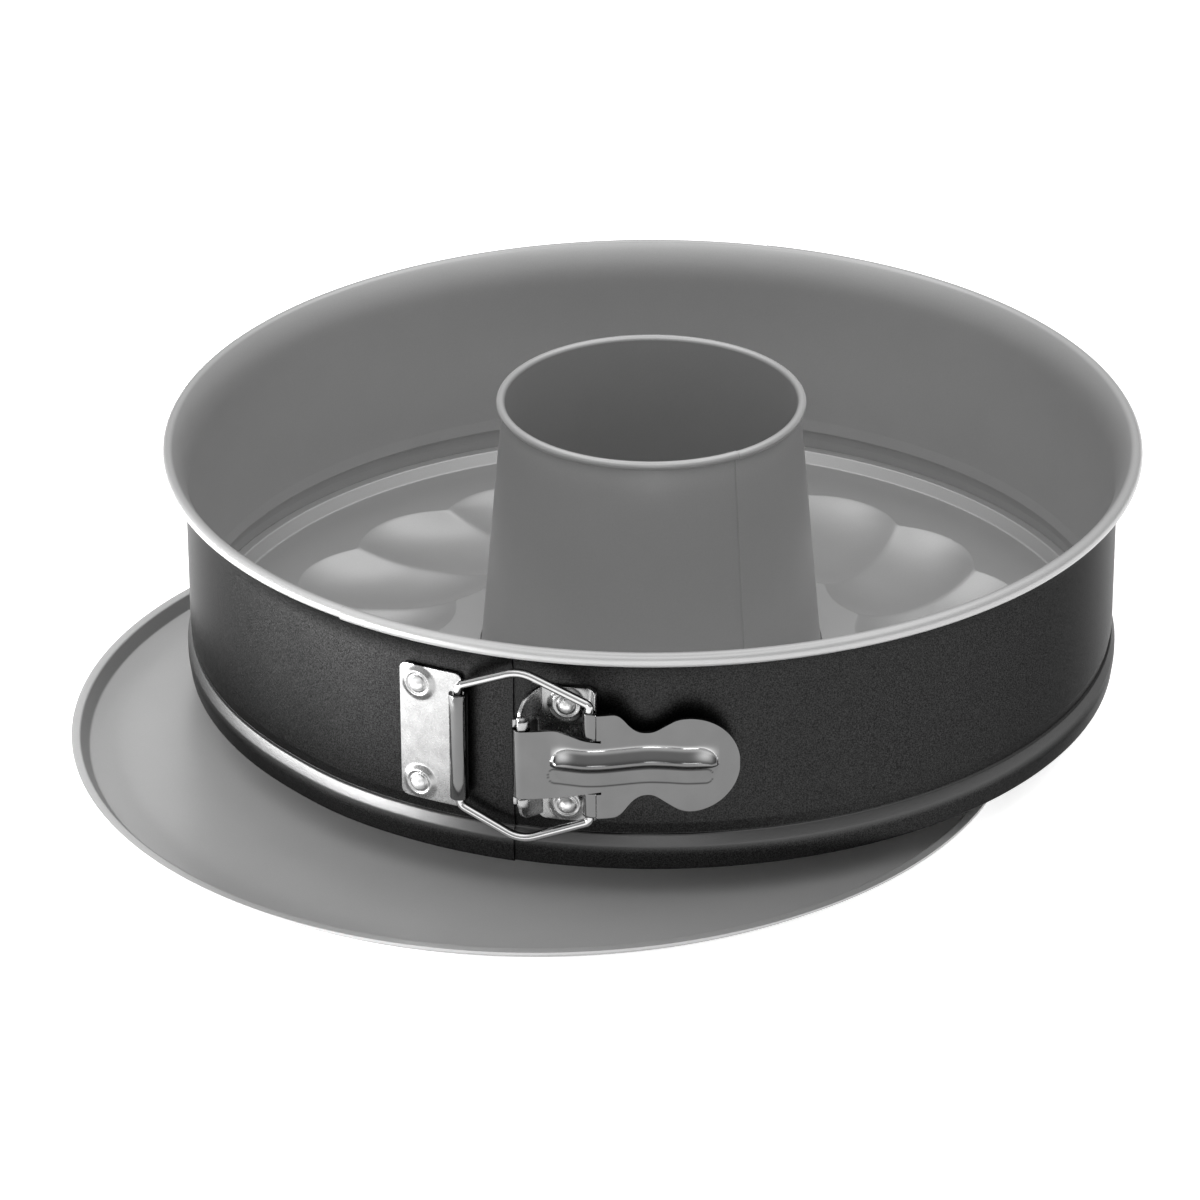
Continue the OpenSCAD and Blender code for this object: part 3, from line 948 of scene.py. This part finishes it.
def make_bail():
    """The wire between the left plate and the lever, bent to a point above and below."""
    start, end = Vector(BARREL), Vector(KNUCKLE)
    reach = (end - start).length
    way = (end - start).normalized()
    out = Vector((way.y, -way.x))
    corners = [(0, 0, 0), (0, *WIRE_ROOT), WIRE_BEND, (reach, *WIRE_TIP), (reach, WIRE_END_Z, 0)]
    upper = rounded(corners, step=9.0)
    route = [(p.x, p.y) for p in reversed(upper)] + [(p.x, -p.y) for p in upper[1:]]
    points = []
    for along, up in route:
        bow = 4 * WIRE_BOW * along * (reach - along) / reach**2
        plan = start + way * along + out * bow
        points.append(Vector((plan.x, plan.y, CLASP_Z + up)) * MM)
    obj = draw("wire_bail", points)
    hold(obj)
    bpy.ops.object.convert(target="CURVE")
    curve = bpy.context.object.data
    curve.bevel_depth = size("wire_radius") * MM
    curve.bevel_resolution = 6
    curve.use_fill_caps = True
    bpy.ops.object.convert(target="MESH")
    obj = named("wire_bail")
    weld(obj, FINE_WELD)
    dress(obj, finish_of("drawn_wire"))
    smooth(obj, angle=45.0)
    return obj


BRACKET_STATION = 5.15
BRACKET_W = 15.0
BRACKET_R = 127.4
BRACKET_LIFT = 1.1
BRACKET_LIFT_X = 5.3
BRACKET_LIFT_W = 2.2
EAR_FOOT = 10.1
EAR_TOP = 12.3
EAR_STATION = 2.1
EAR_ROOT = (0.2, 0.3)
EAR_BULGE = 0.5
EAR_SHORT = 1.0
EAR_LOOK_Z = 13
# Each ear: its side, how high it starts, and the two powers of its curved edge
EARS = ((1, 18.8, 1.6, 0.5), (-1, 17.8, 4, 0.4))
LOOP_R = 2.2
LOOP_TURN = (200, -100)
LOOP_EDGE = 0.1


def make_bracket():
    """The right plate, with two ears that hold the lever's pin in a loop."""

    def lift(x):
        return BRACKET_LIFT * ease((x - BRACKET_LIFT_X) / BRACKET_LIFT_W) ** 2

    plate = plate_grid("bracket_plate", BRACKET_W, BRACKET_R, BRACKET_STATION, 0.0, lift)
    parts = [plate]
    fold_x = BRACKET_R * math.sin(math.radians(EAR_STATION)) - EAR_ROOT[0]
    fold = Vector((fold_x, -BRACKET_R - EAR_ROOT[1]))
    eye = Vector(PIVOT)
    for side, root, bow, lean in EARS:

        def place(u, v):
            top = EAR_TOP + (root - EAR_TOP) * np.clip(1 - u**bow, 0, 1) ** lean
            z = EAR_FOOT + (top - EAR_FOOT) * v
            bulge = np.sin(np.pi * u) * EAR_BULGE
            x = fold.x + (eye.x - EAR_SHORT - fold.x) * u - bulge
            y = fold.y + (eye.y - fold.y) * u
            return x, y, CLASP_Z + side * z

        ear = grid("ear", 24, 10, place)
        weld(ear)
        middle = (fold + eye) / 2
        face_to(ear, (middle.x, middle.y, CLASP_Z + side * EAR_LOOK_Z), (-1, 0, 0))
        thicken(ear, SHEET_T)
        soften(ear, SHEET_EDGE)
        low, high = sorted((side * EAR_FOOT, side * EAR_TOP))
        loop = rolled("loop", arc(*eye, LOOP_R, *LOOP_TURN, 15.0), low, high, 1)
        face_to(loop, (eye.x + LOOP_R, eye.y, CLASP_Z + (low + high) / 2), (1, 0, 0))
        thicken(loop, SHEET_T)
        soften(loop, LOOP_EDGE)
        parts += [ear, loop]
    soften(plate, PLATE_EDGE)
    obj = join("pin_bracket", parts)
    dress(obj, finish_of("plated_steel"))
    smooth(obj)
    return obj


PIN_R = 1.25
PIN_ROUND = 0.5
PIN_PROUD = 0.75


def make_pin():
    """The pin that the lever turns on, with rounded ends."""
    reach = EAR_TOP + PIN_PROUD
    corners = [(POLE_R, -reach, 0), (PIN_R, -reach, PIN_ROUND)]
    corners += [(PIN_R, reach, PIN_ROUND), (POLE_R, reach, 0)]
    profile = [(p.x, p.y + CLASP_Z) for p in rounded(corners, step=20.0)]
    obj = spun("pivot_pin_rod", profile, 0, 360, 12.0)
    shift(obj, PIVOT[0] * MM, PIVOT[1] * MM)
    weld(obj)
    dress(obj, finish_of("plated_steel"))
    smooth(obj, angle=45.0)
    return obj


# The lever

ROLL_R = 2.3
ROLL_TURN = (20, 280)
KNUCKLE_R = 1.7
KNUCKLE_TURN = (40, 275)
LEVER_T = 0.9
LEVER_EDGE = 0.14
# The lever's face from above: how far right, and where it lies from front to back
LEVER_FACE = [
    (1.8, -137.29), (5.6, -136.1), (9.6, -134.6), (13.5, -134.4), (17.8, -134.2),
    (21.7, -133.1), (26.0, -131.1), (29.5, -129.35), (33.3, -127.75), (38.0, -126.75),
    (43.0, -125.96), (49.0, -123.8), (55.7, -120.9),
]
# Half its height behind the tongue, by how far right
OUTLINE = [
    (18.4, 14.9), (24.4, 14.9), (25.4, 14.75), (26.3, 14.2), (27.3, 13.1),
    (28.4, 11.5), (29.8, 10.0), (31.2, 9.2), (33.0, 8.95), (34.6, 9.25),
    (37.6, 11.1), (40.2, 12.7), (42.0, 13.25), (43.6, 13.4),
]
TAB_X = 43.4
TAB_R = 13.4
TAB_LONG = 12.2
TAB_END = 0.9935
# Half the tongue's height, by how far right
TONGUE_SIDE = [(-1.0, 9.7), (9.6, 9.7), (12.0, 9.3), (17.8, 7.7), (21.7, 7.1)]
TONGUE_SHARE = 0.74
SLIT = 0.7
SLIT_SHARE = 0.08
# Where the fork starts and joins the body, and its neck behind the knuckle
FORK_X = 16.0
JOIN_X = 22.0
NECK_X = 19.0
NECK_FREE_X = 20.5
NECK_FOOT = (18.6, -133.2)
# Faces along the roll, the tongue, the fork and its neck, and the body
ROLL_STEPS = 22
TONGUE_STEPS = 30
FORK_STEPS = 26
NECK_STEPS = 8
BODY_STEPS = 84
FORK_START = ROLL_STEPS + TONGUE_STEPS
FORK_END = FORK_START + FORK_STEPS
# Faces across half the tongue, and beside it
HALF_ROWS = 48
SIDE_ROWS = 12
LEVER_LOOK = (13.0, -134.5, -8)


def curve_at(points, x):
    """A smooth curve through points (x, value), with slopes like a drawing spline's."""
    xs = np.array([p[0] for p in points], float)
    ys = np.array([p[1] for p in points], float)
    chord = np.diff(ys) / np.diff(xs)
    slope = np.concatenate([[chord[0]], (chord[:-1] + chord[1:]) / 2, [chord[-1]]])
    slope[1:-1] = np.where(chord[:-1] * chord[1:] <= 0, 0, slope[1:-1])
    i = np.clip(np.searchsorted(xs, x) - 1, 0, len(xs) - 2)
    h = xs[i + 1] - xs[i]
    t = np.clip((x - xs[i]) / h, 0, 1)
    a = (1 + 2 * t) * (1 - t) ** 2 * ys[i] + t * (1 - t) ** 2 * h * slope[i]
    return a + t * t * (3 - 2 * t) * ys[i + 1] + t * t * (t - 1) * h * slope[i + 1]


def half_height(x):
    """Half the lever's height at x, from its outline and round its tab."""
    body = curve_at(OUTLINE, np.minimum(x, TAB_X))
    past = np.clip((x - TAB_X) / TAB_LONG, 0, TAB_END)
    return np.where(x > TAB_X, TAB_R * np.sqrt(1 - past**2), body)


# The rib: its ends, and across it the ridge and the strip below, which ends short of it
RIB = (9.0, 50.4)
RIB_END = 5.0
RIB_TOP = 5.6
RIB_CREST = 0.9
SLOT_TOP = -1.1
SLOT_FOOT = -5.3
SLOT_RISE = 0.45
SLOT_END = 1.7
SLOT = (RIB[0] - 0.6, RIB[1] - 1.2)
# Width of the painted shade along the strip's creases
PAINTED_SHADE_W = 0.24
# Where the rib gets a painted highlight: a line along it, and a patch in from each end
HIGHLIGHT_LINE = 4.7
HIGHLIGHT_LINE_W = 0.5
HIGHLIGHT_IN = 3.2
HIGHLIGHT_LONG = 2.0
HIGHLIGHT_ACROSS = 1.4
HIGHLIGHT_SHARE = 0.8


def rib_share(x, first, last, blunt):
    """How wide the rib is at x, from 0 at its rounded ends to 1."""
    near = np.clip((first + blunt - x) / blunt, 0, 1) + np.clip((x - last + blunt) / blunt, 0, 1)
    return np.sqrt(np.clip(1 - near**2, 1e-6, 1))


def rib_height(x, z):
    """The pressed rib: a rolled ridge above, and a flat strip that leans out below it."""
    w = rib_share(x, *RIB, RIB_END)
    zz = z / w
    rise = size("rib_rise")
    up = np.clip((zz - RIB_CREST) / (RIB_TOP - RIB_CREST), 0, 1)
    ridge = rise * (1 - ease(up))
    strip = SLOT_RISE * np.clip((zz - SLOT_FOOT) / (SLOT_TOP - SLOT_FOOT), 0, 1)
    foot = SLOT_RISE + (rise - SLOT_RISE) * ease((zz - SLOT_TOP) / (RIB_CREST - SLOT_TOP))
    lower = np.where(zz > SLOT_TOP, foot, strip)
    return np.where(zz > RIB_CREST, ridge, lower) * np.minimum(w * 1.3, 1)


def painted_shade_at(x, z):
    """Where the painted shade goes: 1 on the creases round the strip below the ridge, 0 away from
    them.
    """
    w = rib_share(x, *SLOT, SLOT_END)
    middle, half = (SLOT_TOP + SLOT_FOOT) / 2, (SLOT_TOP - SLOT_FOOT) / 2
    off = np.abs(np.abs(z - middle) - half * w)
    inside = (x > SLOT[0]) & (x < SLOT[1])
    return np.where(inside, np.exp(-((off / PAINTED_SHADE_W) ** 2)), 0.0)


def rib_highlight_at(x, z):
    """1 where the rib gets a painted highlight, along its upper edge and at its two ends."""
    zz = z / rib_share(x, *RIB, RIB_END)
    line = HIGHLIGHT_SHARE * np.exp(-(((zz - HIGHLIGHT_LINE) / HIGHLIGHT_LINE_W) ** 2))
    across = np.exp(-(((z - (RIB_CREST + RIB_TOP) / 2) / HIGHLIGHT_ACROSS) ** 2))
    left = np.exp(-(((x - RIB[0] - HIGHLIGHT_IN) / HIGHLIGHT_LONG) ** 2))
    right = HIGHLIGHT_SHARE * np.exp(-(((x - RIB[1] + HIGHLIGHT_IN) / HIGHLIGHT_LONG) ** 2))
    inside = (x > RIB[0]) & (x < RIB[1])
    return np.where(inside, np.clip(line + across * (left + right), 0, 1), 0.0)


def round_axis(axis, radius, turn, steps):
    """Points of a roll round an upright axis, without the last one."""
    return [
        (axis[0] + radius * math.cos(math.radians(a)), axis[1] + radius * math.sin(math.radians(a)))
        for a in np.linspace(*turn, steps, endpoint=False)
    ]


def face_at(x):
    """Where the lever's face lies from front to back at x."""
    return float(curve_at(LEVER_FACE, np.array([x]))[0])


def tongue_path():
    """The lever's middle from above: its roll round the pin, its tongue and its body."""
    roll = round_axis(PIVOT, ROLL_R, ROLL_TURN, ROLL_STEPS)
    first_x = PIVOT[0] + ROLL_R * math.cos(math.radians(ROLL_TURN[1]))
    tip_x = TAB_X + TAB_LONG * TAB_END
    xs = [*np.linspace(first_x, FORK_X, TONGUE_STEPS, endpoint=False)]
    xs += [*np.linspace(FORK_X, JOIN_X, FORK_STEPS, endpoint=False)]
    shares = np.sin(np.linspace(0, 1, BODY_STEPS + 1) * np.pi / 2)
    xs += [*(JOIN_X + (tip_x - JOIN_X) * shares)]
    return roll + [(x, face_at(x)) for x in xs]


def knuckle_path():
    """A side of the fork from above: its knuckle round the wire, and its neck."""
    path = round_axis(KNUCKLE, KNUCKLE_R, KNUCKLE_TURN, FORK_STEPS - NECK_STEPS)
    foot_x, foot_y = NECK_FOOT
    for x in np.linspace(NECK_X, JOIN_X, NECK_STEPS, endpoint=False):
        share = (x - foot_x) / (JOIN_X - foot_x)
        neck = foot_y + (face_at(JOIN_X) - foot_y) * share
        path.append((x, face_at(x) if x > NECK_FREE_X else neck))
    return path


def ways_out(path):
    """The way that faces out of the lever at each point of a path."""
    way = np.gradient(path, axis=0)
    way /= np.linalg.norm(way, axis=1)[:, None] + 1e-9
    return np.stack([way[:, 1], -way[:, 0]], 1)


def cut_fork(obj, width, middle_row):
    """Deletes the strips beside the tongue, and the slits between it and the two knuckles."""

    def is_open(face):
        first = min(v.index % width for v in face.verts)
        rows = [abs(v.index // width - middle_row) for v in face.verts]
        beside_tongue = max(rows) > HALF_ROWS
        in_slit = beside_tongue and min(rows) == HALF_ROWS
        return (beside_tongue and first < FORK_START) or (in_slit and first < FORK_END)

    hold(obj, "EDIT")
    pick(obj, "FACE", is_open)
    bpy.ops.mesh.delete(type="FACE")


def make_lever():
    """The lever: its roll, tongue, forked knuckles, tab and pressed rib, from one sheet."""
    middle = tongue_path()
    side = np.array([middle[0]] * FORK_START + knuckle_path() + middle[FORK_END:])
    middle = np.array(middle)
    out = ways_out(middle)
    columns = len(middle) - 1
    rows = 2 * (HALF_ROWS + SIDE_ROWS + 1)
    join_x, join_half = TONGUE_SIDE[-1]
    marks = {}

    def place(u, v):
        c = np.rint(u * columns).astype(int)
        j = np.rint(v * rows).astype(int) - rows // 2
        row = np.abs(j)
        is_side = row > HALF_ROWS
        x = middle[c, 0]
        tongue_half = curve_at(TONGUE_SIDE, np.clip(x, TONGUE_SIDE[0][0], join_x))
        reach = half_height(np.clip(side[c, 0], OUTLINE[0][0], None))
        inside = np.where(x > join_x, np.minimum(join_half, TONGUE_SHARE * reach), tongue_half)
        slit = np.minimum(SLIT, SLIT_SHARE * reach)
        z_in = inside * np.minimum(row / HALF_ROWS, 1)
        beyond = np.clip((row - HALF_ROWS - 1) / SIDE_ROWS, 0, 1)
        z_out = inside + slit + (reach - inside - slit) * beyond
        z = np.where(is_side, z_out, z_in) * np.sign(j)
        past_roll = c >= ROLL_STEPS
        rib = np.where(is_side & (c < FORK_END), 0, rib_height(x, z) * past_roll)
        on_face = ~is_side & past_roll
        # Painted shade on the creases round the strip
        marks["crease"] = (painted_shade_at(x, z) * on_face).astype(np.float32)
        # Painted highlight along the rib and at its ends
        marks["polish"] = (rib_highlight_at(x, z) * on_face).astype(np.float32)
        plan = np.where(is_side[:, None], side[c], middle[c]) + out[c] * rib[:, None]
        return plan[:, 0], plan[:, 1], CLASP_Z + z

    obj = grid("lever_blank", columns, rows, place)
    for mark, values in marks.items():
        obj.data.attributes.new(mark, "FLOAT", "POINT").data.foreach_set("value", values)
    cut_fork(obj, columns + 1, rows // 2)
    weld(obj, FINE_WELD)
    face_to(obj, Vector(LEVER_LOOK) + Vector((0, 0, CLASP_Z)), (0, -1, 0))
    thicken(obj, LEVER_T)
    soften(obj, LEVER_EDGE, angle=60.0)
    obj = named("clasp_lever")
    dress(obj, finish_of("lever_steel"))
    smooth(obj)
    return obj


# The stage

# Place in millimetres, turn about x, y and z in degrees, and lens and sensor in millimetres
CAMERA_PLACE = (369.72, -1399.35, 755.21)
CAMERA_TURN = (63.1798, 0.1874, 15.2653)
CAMERA_LENS = 175.53
CAMERA_SENSOR = 36.0
CAMERA_NEAR = 0.05
CAMERA_FAR = 40.0
FLOOR_SIZE = 14


def panel_light(name, place, extent, power):
    """A soft lamp of that width and height, in millimetres, which looks at the ring's axis."""
    settle()
    bpy.ops.object.light_add(type="AREA", location=place)
    lamp = named(name)
    lamp.data.shape = "RECTANGLE"
    lamp.data.size, lamp.data.size_y = (side * MM for side in extent)
    lamp.data.energy = power
    lamp.rotation_mode = "QUATERNION"
    lamp.rotation_quaternion = Vector((place.x, place.y, 0)).to_track_quat("Z", "Y")
    lamp.visible_camera = False


# How bright the room is, from straight below (0) to straight above (1)
SKY = [(0.0, 0.9), (0.49, 0.9), (0.5, 0.3), (0.65, 0.5), (0.74, 0.8)]
SKY += [(0.83, 0.9), (0.9, 2.2), (0.96, 2.0), (1.0, 0.9)]
# Name, station, distance from the axis, height of the middle, (width, height), power
LOW_PANELS = [
    ("front_strip", -55.0, 310.0, 36.0, (300.0, 34.0), 1.25),
    ("left_strip", -115.0, 310.0, 36.0, (300.0, 34.0), 0.28),
    ("lever_glint", 17.0, 433.0, 78.0, (110.0, 26.0), 0.06),
]


def make_stage():
    """The floor, the room's light, the low lamps and the camera."""
    settle()
    bpy.ops.mesh.primitive_plane_add(size=FLOOR_SIZE)
    floor = named("floor_card")
    dress(floor, finish_of("pale_floor"))
    world = bpy.data.worlds.new("soft_room")
    bpy.context.scene.world = world
    world.use_nodes = True
    tree = world.node_tree
    way = node(tree, "ShaderNodeTexCoord", output=0)
    up = node(tree, "ShaderNodeSeparateXYZ", {}, {0: way}, output=2)
    sky = ramp(tree, up * 0.5 + 0.5, SKY)
    sky.give(tree.nodes["Background"].inputs["Strength"])
    tree.nodes["Background"].inputs["Color"].default_value = (1, 1, 1, 1)
    for name, station, reach, height, extent, power in LOW_PANELS:
        panel_light(name, at(reach, station, height), extent, power)
    bpy.ops.object.camera_add(
        location=Vector(CAMERA_PLACE) * MM,
        rotation=[math.radians(turn) for turn in CAMERA_TURN],
    )
    camera = named("photo_camera")
    camera.data.sensor_width = CAMERA_SENSOR
    camera.data.lens = CAMERA_LENS
    camera.data.clip_start = CAMERA_NEAR
    camera.data.clip_end = CAMERA_FAR
    bpy.context.scene.camera = camera
    bpy.context.scene.view_settings.view_transform = "Standard"


class PanOperator:
    """What the operators share"""

    bl_options = {"REGISTER", "UNDO"}


class RINGPAN_OT_side_bands(PanOperator, bpy.types.Operator):
    """Add the two halves of the ring"""

    bl_idname = "ringpan.side_bands"
    bl_label = "Side Bands"

    def execute(self, context):
        right = make_side_right()
        finish_band(right)
        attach(right, "pan")
        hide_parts("band_right")
        left = make_side_left()
        finish_band(left)
        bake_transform(left)
        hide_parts("band_left")
        return {"FINISHED"}


class RINGPAN_OT_tube_base(PanOperator, bpy.types.Operator):
    """Add the fluted floor and the tube through it"""

    bl_idname = "ringpan.tube_base"
    bl_label = "Tube Base"

    def execute(self, context):
        for obj, cad_node in ((make_fluted_floor(), "base_disc"), (make_tube(), "centre_tube")):
            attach(obj, "pan")
            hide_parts(cad_node)
        return {"FINISHED"}


class RINGPAN_OT_spare_base(PanOperator, bpy.types.Operator):
    """Add the spare flat base under the pan"""

    bl_idname = "ringpan.spare_base"
    bl_label = "Spare Base"

    def execute(self, context):
        obj = make_spare_base()
        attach(obj, "spare_base")
        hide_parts("flat_base")
        return {"FINISHED"}


class RINGPAN_OT_clasp(PanOperator, bpy.types.Operator):
    """Add the clasp's plates, wire, pin and lever"""

    bl_idname = "ringpan.clasp"
    bl_label = "Clasp"

    def execute(self, context):
        pieces = (
            (make_hinge_leaf(), "left_band", "hinge_plate"),
            (make_bail(), "bail", "bail"),
            (make_bracket(), "pan", "bracket"),
            (make_pin(), "pan", "pivot_pin"),
            (make_lever(), "lever", "lever"),
        )
        for obj, body, cad_node in pieces:
            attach(obj, body)
            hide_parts(cad_node)
        return {"FINISHED"}


class RINGPAN_OT_rivets(PanOperator, bpy.types.Operator):
    """Add the four rivets of the clasp's plates"""

    bl_idname = "ringpan.rivets"
    bl_label = "Rivets"

    def execute(self, context):
        for side, body, station, back, plate_r in (
            ("hinge", "left_band", LEAF_RIVET, LEAF_RIVET_BACK_R, LEAF_R),
            ("bracket", "pan", BRACKET_STATION, BRACKET_RIVET_BACK_R, BRACKET_R),
        ):
            seat = plate_r + PLATE_T + RIVET_LIFT
            for level, z in (("upper", RIVET_Z), ("lower", -RIVET_Z)):
                obj = make_rivet(f"{side}_rivet_{level}_dome", station, z, back, seat)
                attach(obj, body)
                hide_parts(f"{side}_rivet_{level}")
        return {"FINISHED"}


class RINGPAN_OT_stage(PanOperator, bpy.types.Operator):
    """Add the floor, the light and the camera"""

    bl_idname = "ringpan.stage"
    bl_label = "Stage"

    def execute(self, context):
        make_stage()
        return {"FINISHED"}


STEPS = (
    RINGPAN_OT_side_bands,
    RINGPAN_OT_tube_base,
    RINGPAN_OT_spare_base,
    RINGPAN_OT_clasp,
    RINGPAN_OT_rivets,
    RINGPAN_OT_stage,
)
GROUPS = (RINGPAN_PG_sizes, RINGPAN_PG_finishes)


class RINGPAN_PT_panel(bpy.types.Panel):
    """Lists the pan's pieces"""

    bl_idname = "RINGPAN_PT_panel"
    bl_label = "Ring Pan"
    bl_space_type = "VIEW_3D"
    bl_region_type = "UI"
    bl_category = "Ring Pan"

    def draw(self, context):
        for group in (context.scene.ringpan_sizes, context.scene.ringpan_finishes):
            box = self.layout.box()
            for key in group.__annotations__:
                box.prop(group, key)
        for step in STEPS:
            self.layout.operator(step.bl_idname)


def register():
    for kind in (*GROUPS, *STEPS, RINGPAN_PT_panel):
        bpy.utils.register_class(kind)
    bpy.types.Scene.ringpan_sizes = PointerProperty(type=RINGPAN_PG_sizes)
    bpy.types.Scene.ringpan_finishes = PointerProperty(type=RINGPAN_PG_finishes)


def unregister():
    del bpy.types.Scene.ringpan_finishes
    del bpy.types.Scene.ringpan_sizes
    for kind in reversed((*GROUPS, *STEPS, RINGPAN_PT_panel)):
        bpy.utils.unregister_class(kind)


def main():
    register()
    for step in STEPS:
        getattr(bpy.ops.ringpan, step.bl_idname.split(".")[1])()


if __name__ == "__main__":
    main()
